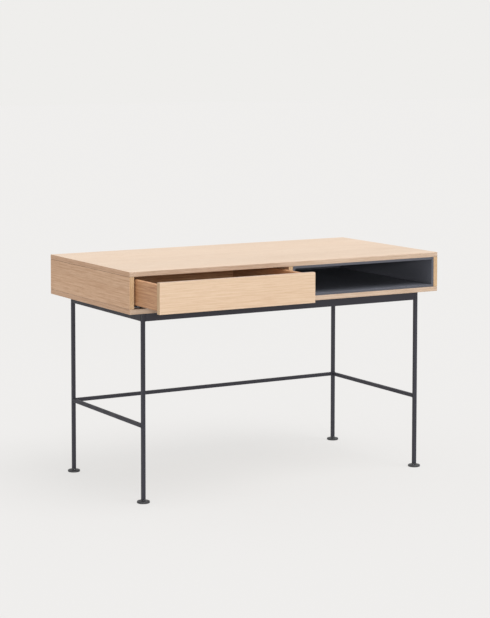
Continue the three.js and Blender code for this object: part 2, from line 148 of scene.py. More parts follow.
@dataclass(frozen=True)
class Specks:
    """Soft specks of a real size: noise, stretched smoothly between two of its values.

    The size is the specks' length along each axis in metres. The two noise values in between give the two
    values in to. Octaves add finer specks, and rough is how strong those are.
    """

    size: Triple
    between: Pair = (0.3, 0.7)
    to: Pair = (0.0, 1.0)
    octaves: float = 2.0
    rough: float = 0.5

    def add(self, tree: NodeTree, place: NodeSocket) -> NodeSocket:
        """Adds the specks' nodes.

        Args:
            tree: the material's node tree.
            place: the position to read, in metres.

        Returns:
            The value's socket.
        """
        scaled = add_node(tree, "Mapping", {"Vector": place, "Scale": [1 / s for s in self.size]})
        clouds = add_node(tree, "TexNoise", {
            "Vector": scaled.outputs[0], "Scale": 1.0, "Detail": self.octaves, "Roughness": self.rough})
        shaped = add_node(tree, "MapRange", {
            "Value": clouds.outputs["Fac"], "From Min": self.between[0], "From Max": self.between[1],
            "To Min": self.to[0], "To Max": self.to[1]}, interpolation_type="SMOOTHSTEP")
        return shaped.outputs[0]


# ---------------------------------------------------------------- finishes


@dataclass(frozen=True)
class Oak:
    """European oak, rift-sliced, lacquered matt: fine straight lines, faint bands, open pores, ray flecks.

    The lacquer leaves the pores open, so light catches their lips and the face has a dry, low sheen.
    """

    name: str
    light: str
    deep: str
    pore: str
    grain: Grain
    leaf_width: float = 0.15
    ring_width: float = 0.0045
    wander: float = 4.0
    roughness: float = 0.5
    contrast: float = 1.0
    offset: Triple = (0.0, 0.0, 0.0)
    arches: Specks = Specks((0.60, 0.09, 0.09), (-0.25, 1.25), octaves=1.5)
    fibres: Specks = Specks((0.06, 0.0016, 0.0016), (0.42, 0.75), octaves=3.0, rough=0.6)
    streaks: Specks = Specks((0.08, 0.0040, 0.0040), (0.35, 0.70), rough=0.6)
    # Pores are about 0.3 mm wide; drawn 0.8 mm wide so that they show at arm's length.
    pores: Specks = Specks((0.020, 0.0008, 0.0008), (0.60, 0.72), octaves=1.0)
    flecks: Specks = Specks((0.008, 0.0025, 0.0025), (0.62, 0.75), (0.0, 0.14), 1.0)
    clouds: Specks = Specks((0.50, 0.06, 0.06), octaves=1.5)
    ring_share: float = 0.30
    streak_share: float = 0.42
    fibre_share: float = 0.30
    cloud_share: float = 0.16
    pore_share: float = 0.30
    ring_band: Pair = (0.35, 0.68)
    ring_octaves: float = 1.5
    tones: Pair = (0.97, 1.02)
    log_spread: float = 3.0
    gloss: Pair = (-0.03, 0.12)
    relief: float = 0.000014
    pore_relief: float = -5.0

    def make(self) -> Material:
        """Builds the material.

        Returns:
            The material.
        """
        material, tree, shader = new_material(self.name)
        place = add_node(tree, "TexCoord").outputs["Object"]
        laid = add_node(tree, "Mapping", {
            "Vector": place, "Rotation": self.grain.value, "Location": self.offset}).outputs[0]
        axes = add_node(tree, "SeparateXYZ", {"Vector": laid}).outputs
        across = add_node(tree, "Math", {0: axes["Y"], 1: axes["Z"]}, operation="ADD").outputs[0]
        tone, cut = self.cut_leaves(tree, laid, across)
        fibres = self.fibres.add(tree, cut)
        pores = self.pores.add(tree, cut)
        wood = self.figure(tree, cut, across, fibres)
        holes = add_node(tree, "Math", {0: pores, 1: self.pore_share * self.contrast},
                         operation="MULTIPLY").outputs[0]
        for amount, colour in ((holes, self.pore), (self.flecks.add(tree, cut), self.light)):
            wood = add_node(tree, "Mix", {
                MIX_AMOUNT: amount, MIX_FIRST: wood, MIX_SECOND: linear(colour)},
                data_type="RGBA").outputs[MIX_RESULT]
        darkest, lightest = self.tones
        shade = add_node(tree, "MapRange", {
            "Value": tone, "To Min": darkest, "To Max": lightest}).outputs[0]
        add_node(tree, "HueSaturation", {"Color": wood, "Value": shade}, to=shader.inputs["Base Color"])
        sheen, dull = (self.roughness + change for change in self.gloss)
        add_node(tree, "MapRange", {"Value": pores, "To Min": sheen, "To Max": dull},
                 to=shader.inputs["Roughness"])
        height = add_node(tree, "Math", {0: pores, 1: self.pore_relief, 2: fibres},
                          operation="MULTIPLY_ADD").outputs[0]
        add_node(tree, "Bump", {"Height": height, "Distance": self.relief}, to=shader.inputs["Normal"])
        return material

    def cut_leaves(self, tree: NodeTree, laid: NodeSocket,
                   across: NodeSocket) -> tuple[NodeSocket, NodeSocket]:
        """Cuts the face into leaves of veneer, each from its own part of the log.

        Args:
            tree: the material's node tree.
            laid: the position with the grain along X.
            across: the distance across the grain.

        Returns:
            Each leaf's own random value, and the position in the log.
        """
        count = add_node(tree, "Math", {0: across, 1: self.leaf_width}, operation="DIVIDE").outputs[0]
        leaf = add_node(tree, "Math", {0: count}, operation="FLOOR").outputs[0]
        chance = add_node(tree, "TexWhiteNoise", {"W": leaf}, noise_dimensions="1D").outputs
        shift = add_node(tree, "VectorMath", {0: chance["Color"], 1: (self.log_spread, 0.0, 0.0)},
                         operation="MULTIPLY").outputs[0]
        cut = add_node(tree, "VectorMath", {0: laid, 1: shift}, operation="ADD").outputs[0]
        return chance["Value"], cut

    def figure(self, tree: NodeTree, cut: NodeSocket, across: NodeSocket,
               fibres: NodeSocket) -> NodeSocket:
        """Colours the wood by its growth rings, streaks, fibres and slow clouds.

        Args:
            tree: the material's node tree.
            cut: the position in the log.
            across: the distance across the grain.
            fibres: the fibres' value.

        Returns:
            The colour's socket.
        """
        # Growth rings are lines across the grain, bent a little by slow noise.
        plain = add_node(tree, "Math", {0: across, 1: self.ring_width}, operation="DIVIDE").outputs[0]
        bent = add_node(tree, "Math", {0: self.arches.add(tree, cut), 1: self.wander, 2: plain},
                        operation="MULTIPLY_ADD").outputs[0]
        lines = add_node(tree, "TexNoise", {"W": bent, "Scale": 1.0, "Detail": self.ring_octaves},
                         noise_dimensions="1D").outputs["Fac"]
        rings = add_node(tree, "MapRange", {
            "Value": lines, "From Min": self.ring_band[0], "From Max": self.ring_band[1]},
            interpolation_type="SMOOTHSTEP").outputs[0]
        depth = 0.0
        for layer, share in ((rings, self.ring_share), (self.streaks.add(tree, cut), self.streak_share),
                             (fibres, self.fibre_share), (self.clouds.add(tree, cut), self.cloud_share)):
            depth = add_node(tree, "Math", {0: layer, 1: share * self.contrast, 2: depth},
                             operation="MULTIPLY_ADD").outputs[0]
        return add_node(tree, "Mix", {
            MIX_AMOUNT: depth, MIX_FIRST: linear(self.light), MIX_SECOND: linear(self.deep)},
            data_type="RGBA").outputs[MIX_RESULT]


@dataclass(frozen=True)
class Skin:
    """An even material whose tint, gloss and relief each follow specks of their own."""

    name: str
    colour: str
    second: str
    tint: Specks
    gloss: Specks
    relief: Specks
    depth: float
    metallic: float = 0.0

    def make(self) -> Material:
        """Builds the material.

        Returns:
            The material.
        """
        material, tree, shader = new_material(self.name)
        place = add_node(tree, "TexCoord").outputs["Object"]
        shader.inputs["Metallic"].default_value = self.metallic
        mixed = add_node(tree, "Mix", {
            MIX_AMOUNT: self.tint.add(tree, place), MIX_FIRST: linear(self.colour),
            MIX_SECOND: linear(self.second)}, data_type="RGBA")
        tree.links.new(mixed.outputs[MIX_RESULT], shader.inputs["Base Color"])
        tree.links.new(self.gloss.add(tree, place), shader.inputs["Roughness"])
        add_node(tree, "Bump", {"Height": self.relief.add(tree, place), "Distance": self.depth},
                 to=shader.inputs["Normal"])
        return material


@dataclass(frozen=True)
class PowderCoat(Skin):
    """Steel under baked polyester powder: a fine pebbled skin, a little smoother where it pooled."""

    name: str = "anthracite_powder_coat"
    colour: str = "201F29"
    second: str = "2E2D37"
    tint: Specks = Specks((0.05, 0.05, 0.05), (0.3, 0.8), (0.0, 0.5), 7.0, 0.7)
    gloss: Specks = Specks((0.05, 0.05, 0.05), to=(0.48, 0.62), octaves=3.0)
    # The pebbles are near 0.4 mm across; drawn 1.2 mm wide so that they show.
    relief: Specks = Specks((0.0012, 0.0012, 0.0012), rough=0.6)
    depth: float = 0.00003


@dataclass(frozen=True)
class DarkLacquer(Skin):
    """Board sprayed with matt anthracite lacquer: smooth, a slight orange peel and faint rub marks."""

    name: str = "matt_dark_lacquer_painted_light"
    # This colour is painted lighter than the lacquer's own: painted light for faces deep in the niche, which
    # the lamps barely reach.
    colour: str = "60626A"
    second: str = "6A6C75"
    tint: Specks = Specks((0.09, 0.20, 0.09), (0.45, 0.80), (0.0, 0.5), 4.0, 0.6)
    gloss: Specks = Specks((0.09, 0.20, 0.09), (0.30, 0.75), (0.42, 0.50), 4.0, 0.6)
    relief: Specks = Specks((0.003, 0.003, 0.003), octaves=1.0)
    depth: float = 0.000003


@dataclass(frozen=True)
class ZincPlate(Skin):
    """Cold-rolled steel, bright zinc plated: drawn lines along its length and cloudy passivate."""

    name: str = "bright_zinc_plate"
    colour: str = "C9CCD0"
    second: str = "A9AEB6"
    tint: Specks = Specks((0.012, 0.03, 0.012), (0.35, 0.70), octaves=4.0, rough=0.6)
    gloss: Specks = Specks((0.0006, 0.05, 0.0006), to=(0.26, 0.42))
    relief: Specks = Specks((0.0006, 0.05, 0.0006))
    depth: float = 0.000004
    metallic: float = 1.0


@dataclass(frozen=True)
class MouldedPlastic(Skin):
    """Injection-moulded nylon or acetal: an even, fine spark-eroded grain, scuffed where it is handled."""

    tint: Specks = Specks((0.004, 0.004, 0.012), (0.55, 0.80), (0.0, 0.45), 4.0, 0.65)
    gloss: Specks = Specks((0.0007, 0.0007, 0.0007), to=(0.44, 0.58), octaves=1.0)
    relief: Specks = Specks((0.0007, 0.0007, 0.0007), octaves=1.0)
    depth: float = 0.000008


@dataclass(frozen=True)
class Finishes:
    """Every material of the desk, made once and handed to the sub-assemblies."""

    # The top veneer is painted lighter and paler than the front veneer: a painted sheen.
    top_face: Material
    # The side veneer is painted darker and redder than the front veneer: a painted shade.
    side_face: Material
    front_face: Material
    band_x: Material
    band_y: Material
    band_z: Material
    raw_edge: Material
    drawer_along: Material
    drawer_across: Material
    # One lacquer in two copies: the inner one is painted lighter, a painted light; the edge one is darker.
    lacquer: Material
    lacquer_edge: Material
    steel: Material
    zinc: Material
    black: Material
    grey: Material

    @classmethod
    def make(cls) -> "Finishes":
        """Builds all the materials.

        Returns:
            The set of finishes.
        """
        # The top veneer is painted lighter and paler than the front one: a painted sheen on the level faces.
        top = {"light": "D5C0AB", "deep": "B99C81", "pore": "94704F", "contrast": 0.75, "wander": 9.0}
        veneer = {"light": "CEB59B", "deep": "B39273", "pore": "94704F", "contrast": 0.65}
        # The side veneer is painted darker and redder than the front one: a painted shade on the upright
        # faces.
        side = {"light": "CDA989", "deep": "AC825E", "pore": "8F6846", "contrast": 1.1}
        band = {"leaf_width": 0.9, "ring_width": 0.003}
        box = {"light": "C79A72", "deep": "9D6C48", "pore": "7F5637", "leaf_width": 0.5, "contrast": 1.2,
               "roughness": 0.55}
        return cls(
            top_face=Oak("oak_veneer_top_painted_sheen", grain=Grain.ALONG_X, **top).make(),
            side_face=Oak("oak_veneer_side_painted_shade", grain=Grain.ALONG_Y, offset=(0.6, 1.1, 0.0), **side).make(),
            front_face=Oak("oak_veneer_front", grain=Grain.ALONG_X, leaf_width=0.5, offset=(4.2, 0.3, 0.7),
                           **veneer).make(),
            band_x=Oak("oak_edge_band_x", "C3AD99", "A88C73", "8A6646", Grain.ALONG_X,
                       offset=(1.7, 0.4, 0.2), **band).make(),
            band_y=Oak("oak_edge_band_y", "C4A082", "A27A58", "8F6846", Grain.ALONG_Y,
                       offset=(2.7, 0.1, 0.5), **band).make(),
            band_z=Oak("oak_edge_band_z", "C2A582", "A78661", "8A6646", Grain.ALONG_Z,
                       offset=(3.1, 0.8, 0.9), **band).make(),
            raw_edge=Oak("oak_raw_edge", "7A5B40", "5C412B", "4A3322", Grain.ALONG_Y, roughness=0.7).make(),
            drawer_along=Oak("oiled_oak_side", grain=Grain.ALONG_Y, offset=(2.2, 0.9, 0.3), **box).make(),
            drawer_across=Oak("oiled_oak_cross", grain=Grain.ALONG_X, offset=(3.1, 0.5, 0.9), **box).make(),
            # The niche's inner faces take the lacquer painted lighter than their front edges: a painted
            # light.
            lacquer=DarkLacquer().make(),
            lacquer_edge=DarkLacquer("matt_dark_lacquer_edge", "4A4B53", "53545C").make(),
            steel=PowderCoat().make(),
            zinc=ZincPlate().make(),
            black=MouldedPlastic("moulded_black_nylon", "2E2E31", "45454A").make(),
            grey=MouldedPlastic("moulded_grey_acetal", "85888D", "A2A5A9").make(),
        )


# ---------------------------------------------------------------- surfaces


def mesh_object(name: str, points: np.ndarray, faces: np.ndarray, merge: float = 1e-7,
                outwards: bool = False) -> Object:
    """Makes a mesh object from arrays and closes its seams.

    Args:
        name: the object's name.
        points: an N by 3 array of places.
        faces: an M by 4 array of corner numbers.
        merge: corners nearer than this become one, in metres.
        outwards: whether the faces are turned to point outwards afterwards.

    Returns:
        The object, at the origin.
    """
    mesh = bpy.data.meshes.new(name)
    mesh.from_pydata(points.reshape(-1, 3).tolist(), [], faces.reshape(-1, faces.shape[-1]).tolist())
    work = bmesh.new()
    work.from_mesh(mesh)
    bmesh.ops.remove_doubles(work, verts=work.verts, dist=merge)
    bmesh.ops.dissolve_degenerate(work, dist=merge, edges=work.edges)
    if outwards:
        bmesh.ops.recalc_face_normals(work, faces=work.faces)
    work.to_mesh(mesh)
    work.free()
    mesh.update()
    obj = bpy.data.objects.new(name, mesh)
    bpy.context.scene.collection.objects.link(obj)
    return obj


def grid_faces(rows: int, columns: int, start: int = 0, wrap: bool = False) -> np.ndarray:
    """Numbers the quads of a grid of points stored row by row.

    Args:
        rows: how many rows of points.
        columns: how many points in a row.
        start: the first point's number.
        wrap: whether the last column joins the first.

    Returns:
        An array of quads.
    """
    row = np.arange(rows - 1)[:, None] * columns
    column = np.arange(columns if wrap else columns - 1)[None, :]
    after = (column + 1) % columns
    quads = np.stack([row + column, row + after, row + columns + after, row + columns + column], -1)
    return quads.reshape(-1, 4) + start


def set_normals(mesh: Mesh, normals: np.ndarray, caps: dict[int, np.ndarray] | None = None) -> None:
    """Gives a mesh exact normals.

    Args:
        mesh: the mesh.
        normals: a normal for each vertex.
        caps: flat faces by number, each with the normal that its own corners take instead.
    """
    mesh.shade_smooth()
    vertex = np.empty(len(mesh.loops), dtype=np.int32)
    mesh.loops.foreach_get("vertex_index", vertex)
    split = normals[vertex]
    for number, normal in (caps or {}).items():
        face = mesh.polygons[number]
        split[face.loop_start : face.loop_start + face.loop_total] = normal
    mesh.normals_split_custom_set(split.tolist())


def rounded_box(name: str, low: Vector, high: Vector, radius: float, steps: int = 3,
                slots: tuple[int, int, int] = (0, 0, 0)) -> Object:
    """Makes a box with round edges and corners, whose flat faces have flat normals.

    Each of the six faces is a grid that is finer near its edges. A point p of the plain box is moved to
    q + radius * unit(p - q), where q is the nearest point of the box shrunk by the radius, and the unit
    vector is the surface's normal there.

    Args:
        name: the object's name.
        low: the box's lowest corner.
        high: the box's highest corner.
        radius: the edges' radius.
        steps: facets across half an edge.
        slots: the material slot of the faces square to X, Y and Z.

    Returns:
        The object.
    """
    low, high = np.array(low, float), np.array(high, float)
    ease = radius * np.tan(np.linspace(0, math.pi / 4, steps + 1))
    lines = [np.concatenate([(low[a] + radius) - ease[::-1], (high[a] - radius) + ease]) for a in range(3)]
    size = len(lines[0])
    points, faces, slot = [], [], []
    for axis in range(3):
        one, two = (axis + 1) % 3, (axis + 2) % 3
        across, along = np.meshgrid(lines[one], lines[two])
        for end, flip in ((low[axis], True), (high[axis], False)):
            sheet = np.empty((size, size, 3))
            sheet[..., axis], sheet[..., one], sheet[..., two] = end, across, along
            quads = grid_faces(size, size, size * size * len(points))
            faces.append(quads[:, ::-1] if flip else quads)
            points.append(sheet)
            slot.append(np.full(len(quads), slots[axis]))
    points = np.array(points)
    core = np.clip(points, low + radius, high - radius)
    away = points - core
    points = core + radius * away / np.linalg.norm(away, axis=-1, keepdims=True)
    obj = mesh_object(name, points, np.concatenate(faces), radius * 0.01)
    mesh = obj.data
    mesh.polygons.foreach_set("material_index", np.concatenate(slot).astype(np.int32))
    corners = np.empty(len(mesh.vertices) * 3)
    mesh.vertices.foreach_get("co", corners)
    corners = corners.reshape(-1, 3)
    away = corners - np.clip(corners, low + radius, high - radius)
    set_normals(mesh, away / np.linalg.norm(away, axis=-1, keepdims=True))
    return obj


@dataclass(frozen=True)
class Outline:
    """A closed outline with round corners, anticlockwise: its points and the outward normal at each."""

    points: np.ndarray
    normals: np.ndarray

    @classmethod
    def rounded(cls, corners: list, radii: float | list, steps: int = 4) -> "Outline":
        """Rounds the corners of a polygon.

        At each corner the arc's centre lies on the bisector, radius / sin(half the angle) from the corner,
        and the arc runs between the two tangent points. The normals of a reflex corner point at the centre.

        Args:
            corners: the polygon's corners, anticlockwise.
            radii: one radius, or one for each corner.
            steps: facets to each arc.

        Returns:
            The outline.
        """
        corner = np.array(corners, float)
        radius = np.broadcast_to(np.array(radii, float), (len(corner),))
        back, ahead = np.roll(corner, 1, 0) - corner, np.roll(corner, -1, 0) - corner
        back /= np.linalg.norm(back, axis=1, keepdims=True)
        ahead /= np.linalg.norm(ahead, axis=1, keepdims=True)
        half = np.arccos(np.clip((back * ahead).sum(1), -1, 1)) / 2
        middle = back + ahead
        middle /= np.linalg.norm(middle, axis=1, keepdims=True)
        centre = corner + middle * (radius / np.sin(half))[:, None]
        tangent = (radius / np.tan(half))[:, None]
        first, last = corner + back * tangent - centre, corner + ahead * tangent - centre
        start = np.arctan2(first[:, 1], first[:, 0])
        sweep = (np.arctan2(last[:, 1], last[:, 0]) - start + math.pi) % (2 * math.pi) - math.pi
        angle = start[:, None] + sweep[:, None] * np.linspace(0, 1, steps + 1)
        ray = np.stack([np.cos(angle), np.sin(angle)], -1)
        points = centre[:, None] + radius[:, None, None] * ray
        normals = ray * np.sign(sweep)[:, None, None]
        return cls(points.reshape(-1, 2), normals.reshape(-1, 2))

    @classmethod
    def rectangle(cls, low: Pair, high: Pair, radius: float,
                  steps: int = 4) -> "Outline":
        """A rectangle with round corners."""
        corners = [(low[0], low[1]), (high[0], low[1]), (high[0], high[1]), (low[0], high[1])]
        return cls.rounded(corners, radius, steps)

    def placed(self, side: str, low: Vector, high: Vector) -> "Outline":
        """Moves the outline to a box's lower outer edge, mirrored on the right and still anticlockwise.

        Args:
            side: "left" or "right".
            low: the box's lowest corner.
            high: the box's highest corner.

        Returns:
            The moved outline.
        """
        if side == "left":
            return Outline(self.points + (low.x, low.z), self.normals)
        flip = np.array([-1.0, 1.0])
        return Outline((self.points * flip)[::-1] + (high.x, low.z), (self.normals * flip)[::-1])


def extruded(name: str, outline: Outline, axis: int, start: float, end: float) -> Object:
    """Carries an outline along an axis and closes both ends.

    The surface is (outline(t), s), with the outline in the other two axes in their X, Y, Z order.

    Args:
        name: the object's name.
        outline: the section.
        axis: the axis, 0, 1 or 2, that it runs along.
        start: the lower end's place on the axis.
        end: the upper end's place on the axis.

    Returns:
        The object.
    """
    count = len(outline.points)
    one, two = [a for a in range(3) if a != axis]
    points = np.empty((2, count, 3))
    points[..., one], points[..., two] = outline.points[:, 0], outline.points[:, 1]
    points[0, :, axis], points[1, :, axis] = start, end
    normals = np.zeros((2, count, 3))
    normals[..., one], normals[..., two] = outline.normals[:, 0], outline.normals[:, 1]
    walls = grid_faces(2, count, wrap=True)
    caps = [np.arange(count)[::-1], np.arange(count) + count]
    if axis == 1:
        walls, caps = walls[:, ::-1], [cap[::-1] for cap in caps]
    mesh = bpy.data.meshes.new(name)
    mesh.from_pydata(points.reshape(-1, 3).tolist(), [], walls.tolist() + [cap.tolist() for cap in caps])
    mesh.update()
    up = np.eye(3)[axis]
    set_normals(mesh, normals.reshape(-1, 3), {len(walls): -up, len(walls) + 1: up})
    obj = bpy.data.objects.new(name, mesh)
    bpy.context.scene.collection.objects.link(obj)
    return obj


def turned(name: str, profile: np.ndarray, centre: Vector, axis: Triple = (0, 0, 1),
           segments: int = 48, sharp_degrees: float = 30.0) -> Object:
    """Revolves a profile about an axis.

    The surface is centre + r(t) (cos a u + sin a v) + z(t) w for each profile point t and angle a, where w
    is the axis and u, v, w are square to each other.

    Args:
        name: the object's name.
        profile: an N by 2 or N by segments by 2 array of radius and height, from the lower pole up.
        centre: the axis's foot.
        axis: the axis's direction.
        segments: facets round the axis.
        sharp_degrees: edges that turn more than this stay crisp.

    Returns:
        The object.
    """
    angle = np.linspace(0, 2 * math.pi, segments, endpoint=False)
    if profile.ndim == 2:
        profile = np.repeat(profile[:, None, :], segments, axis=1)
    w = Vector(axis).normalized()
    u = w.orthogonal().normalized()
    frame = np.array([u, w.cross(u), w])
    radius, height = profile[..., 0], profile[..., 1]
    local = np.stack([radius * np.cos(angle), radius * np.sin(angle), height], -1)
    obj = mesh_object(name, local @ frame + np.array(centre), grid_faces(len(profile), segments, wrap=True))
    obj.data.shade_smooth()
    obj.data.set_sharp_from_angle(angle=math.radians(sharp_degrees))
    return obj


def arc(centre: Pair, radius: float, start: float, end: float, steps: int = 6) -> np.ndarray:
    """Points along an arc in a profile, from one angle in degrees to another."""
    angle = np.radians(np.linspace(start, end, steps + 1))
    return np.stack([centre[0] + radius * np.cos(angle), centre[1] + radius * np.sin(angle)], -1)


def bead(name: str, centre: Vector, axis: int, size: Pair, corner: float,
         thickness: float) -> Object:
    """Makes a weld bead: a round cord laid round a rectangle with round corners.

    The centreline is a rounded rectangle square to the axis; the surface is centreline +
    thickness (cos b outwards + sin b axis), with a slow ripple along it as a weld has.

    Args:
        name: the object's name.
        centre: the middle of the joint.
        axis: the axis (0, 1 or 2) that the joined bar runs along.
        size: the bar's two cross sizes, in the order of the other two axes.
        corner: the bar's corner radius.
        thickness: the bead's radius.

    Returns:
        The object.
    """
    half_one, half_two = size[0] / 2, size[1] / 2
    route = Outline.rectangle((-half_one, -half_two), (half_one, half_two), corner, BEAD_STEPS)
    # The bead starts and ends at the third corner.
    line, out = (np.roll(values, -2 * (BEAD_STEPS + 1), axis=0) for values in (route.points, route.normals))
    around = np.linspace(0, 2 * math.pi, BEAD_FACETS, endpoint=False)
    swell = thickness * (1 + BEAD_RIPPLE * np.sin(np.arange(len(line)) * BEAD_TURN))[:, None]
    flat = line[:, None, :] + (swell * np.cos(around))[..., None] * out[:, None, :]
    points = np.empty((len(line), BEAD_FACETS, 3))
    one, two = [a for a in range(3) if a != axis]
    points[..., one], points[..., two] = flat[..., 0], flat[..., 1]
    points[..., axis] = swell * np.sin(around)
    points = np.concatenate([points, points[:1]]) + np.array(centre)
    obj = mesh_object(name, points, grid_faces(len(points), BEAD_FACETS, wrap=True), outwards=True)
    obj.data.shade_smooth()
    return obj


# ---------------------------------------------------------------- pieces


def dress(obj: Object, *materials: Material) -> None:
    """Gives an object these materials in its slots, in place of any it had.

    Args:
        obj: the object.
        *materials: one material for each slot.
    """
    slots = obj.data.materials
    for number, material in enumerate(materials):
        if number < len(slots):
            slots[number] = material
        else:
            slots.append(material)


def hand_over(piece: Object, materials: tuple[Material, ...], body: str,
              replaced: tuple[str, ...] = ()) -> None:
    """Dresses a new piece, fixes it to its body and hides the nodes it stands for.

    Args:
        piece: the new object.
        materials: the materials of its slots.
        body: the body that it moves with.
        replaced: nodes that it replaces.
    """
    dress(piece, *materials)
    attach(piece, body)
    if replaced:
        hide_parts(*replaced)
    LOG.info("%s rides on %s", piece.name, body)


@dataclass
class Board:
    """A flat board with eased edges that stands for one node."""

    node: str
    body: str
    slot: str
    materials: tuple[Material, ...]
    faces: tuple[int, int, int] = (0, 0, 0)
    radius: float = 1.0 * MM

    def build(self) -> None:
        """Makes the board where its node is."""
        low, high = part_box(self.node)
        piece = rounded_box(f"{self.node}_board", low, high, self.radius, slots=self.faces)
        hand_over(piece, self.materials, self.body, (self.node,))


@dataclass
class SocketScrew:
    """A zinc-plated button-head screw with a hexagon socket, its head first and its shank along the axis."""

    head_radius: float = 4.0 * MM
    head_height: float = 2.4 * MM
    socket_across: float = 2.5 * MM
    socket_depth: float = 1.3 * MM
    shank: float = 2.0 * MM
    segments: int = 36
    sharp_degrees: float = 35.0
    mouth_depth: float = 0.1 * MM
    mouth_width: float = 0.15 * MM
    dome_share: float = 0.7
    point_share: float = 0.2

    def build(self, name: str, head: Vector, axis: Triple, length: float) -> Object:
        """Makes the screw.

        Args:
            name: the object's name.
            head: the middle of the head's outer end.
            axis: the way that it points.
            length: its whole length.

        Returns:
            The object.
        """
        return turned(name, self.profile(length), head, axis, self.segments, self.sharp_degrees)

    def profile(self, length: float) -> np.ndarray:
        """Outlines the screw from its head up, with the socket as a ring whose radius is its hexagon's.

        Args:
            length: the whole length.

        Returns:
            Rows of radius and height, one pair for each facet.
        """
        angle = np.linspace(0, 2 * math.pi, self.segments, endpoint=False)
        hexagon = (self.socket_across / 2) / np.cos((angle % (math.pi / 3)) - math.pi / 6)

        def ring(radius: float | np.ndarray, height: float) -> np.ndarray:
            """One row of the surface."""
            return np.stack([radius + 0 * angle, height + 0 * angle], -1)[None]

        edge = self.head_height * self.dome_share
        dome = arc((self.head_radius - edge, edge), edge, -90, 0)
        return np.concatenate([
            ring(0.0, self.socket_depth), ring(hexagon, self.socket_depth), ring(hexagon, self.mouth_depth),
            ring(hexagon + self.mouth_width, 0.0), *[ring(r, z) for r, z in dome],
            ring(self.head_radius, self.head_height), ring(self.shank, self.head_height),
            ring(self.shank, length - self.shank), ring(self.point_share * self.shank, length),
            ring(0.0, length),
        ])


@dataclass
class CaseWork:
    """The veneered case: top, bottom, two sides, divider and back."""

    finishes: Finishes
    edge_radius: float = 1.0 * MM

    def build(self) -> None:
        """Makes each board with its veneered faces and edge bands."""
        f = self.finishes
        # Level boards' flat faces take the top veneer with its painted sheen.
        level = (f.top_face, f.band_x, f.band_y)
        # Upright boards' flat faces take the side veneer with its painted shade.
        upright = (f.side_face, f.band_z, f.raw_edge)
        plan = (
            ("desk_top", level, (2, 1, 0)),
            ("case_bottom", level, (2, 1, 0)),
            ("side_left", upright, (0, 1, 2)),
            ("side_right", upright, (0, 1, 2)),
            ("centre_divider", upright, (0, 1, 2)),
            ("back_panel", (f.front_face, f.band_x, f.band_z), (2, 0, 1)),
        )
        for node, materials, faces in plan:
            Board(node, "desk", "oak_veneer", materials, faces, self.edge_radius).build()


@dataclass
class NicheLining:
    """The niche's five lacquered boards."""

    finishes: Finishes
    edge_radius: float = 0.7 * MM

    def build(self) -> None:
        """Makes each lining board."""
        # The inner faces get the lacquer painted lighter, a painted light; the front edges get the darker
        # copy.
        inside, edge = self.finishes.lacquer, self.finishes.lacquer_edge
        Board("niche_back", "desk", "dark_lacquer", (inside,), radius=self.edge_radius).build()
        for name in ("top", "floor", "left", "right"):
            Board(f"niche_{name}", "desk", "dark_lacquer", (inside, edge), (0, 1, 0),
                  self.edge_radius).build()


@dataclass
class Drawer:
    """The drawer: veneered front, solid oak box, and the screws that hold the front to it."""

    finishes: Finishes
    front_radius: float = 1.4 * MM
    board_radius: float = 1.0 * MM
    top_radius: float = 3.0 * MM
    groove_depth: float = 7.0 * MM
    groove_play: float = 0.3 * MM
    groove_radius: float = 0.4 * MM
    screw_inset: float = 60 * MM
    screw_cover: float = 6 * MM
    screw_levels: tuple[tuple[str, float], ...] = (("lower", 0.28), ("upper", 0.75))
    screws: SocketScrew = field(default_factory=SocketScrew)

    def build(self) -> None:
        """Makes the front, the box and the screws."""
        f = self.finishes
        Board("drawer_front", "drawer", "oak_veneer", (f.front_face, f.band_x, f.band_z), (2, 0, 1),
              self.front_radius).build()
        for name in ("inner_front", "back", "bottom"):
            Board(f"drawer_{name}", "drawer", "drawer_oak", (f.drawer_across,),
                  radius=self.board_radius).build()
        for side in SIDES:
            self.build_side(side)
        self.build_screws()

    def build_side(self, side: str) -> None:
        """Makes one side: a board with a round upper edge and a groove that holds the bottom.

        Args:
            side: "left" or "right".
        """
        node = f"drawer_side_{side}"
        low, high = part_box(node)
        width, height = high.x - low.x, high.z - low.z
        bottom_low, bottom_high = (corner.z - low.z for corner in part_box("drawer_bottom"))
        floor, roof = bottom_low - self.groove_play, bottom_high + self.groove_play
        inner = width - self.groove_depth
        crisp, soft = self.groove_radius, self.top_radius
        outline = Outline.rounded(
            [(0, 0), (width, 0), (width, floor), (inner, floor), (inner, roof), (width, roof),
             (width, height), (0, height)],
            [soft / 3, crisp, crisp, crisp, crisp, crisp, soft, soft], 6)
        piece = extruded(f"{node}_board", outline.placed(side, low, high), 1, low.y, high.y)
        hand_over(piece, (self.finishes.drawer_along,), "drawer", (node,))

    def build_screws(self) -> None:
        """Makes two pairs of screws through the box into the front."""
        low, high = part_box("drawer_inner_front")
        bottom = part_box("drawer_bottom")[1].z
        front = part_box("drawer_front")
        length = high.y - front[0].y - self.screw_cover + self.screws.head_height
        for side, x in zip(SIDES, (low.x + self.screw_inset, high.x - self.screw_inset)):
            for level, share in self.screw_levels:
                head = Vector((x, high.y + self.screws.head_height, bottom + (high.z - bottom) * share))
                piece = self.screws.build(f"drawer_front_screw_{side}_{level}", head, (0, -1, 0), length)
                hand_over(piece, (self.finishes.zinc,), "drawer")


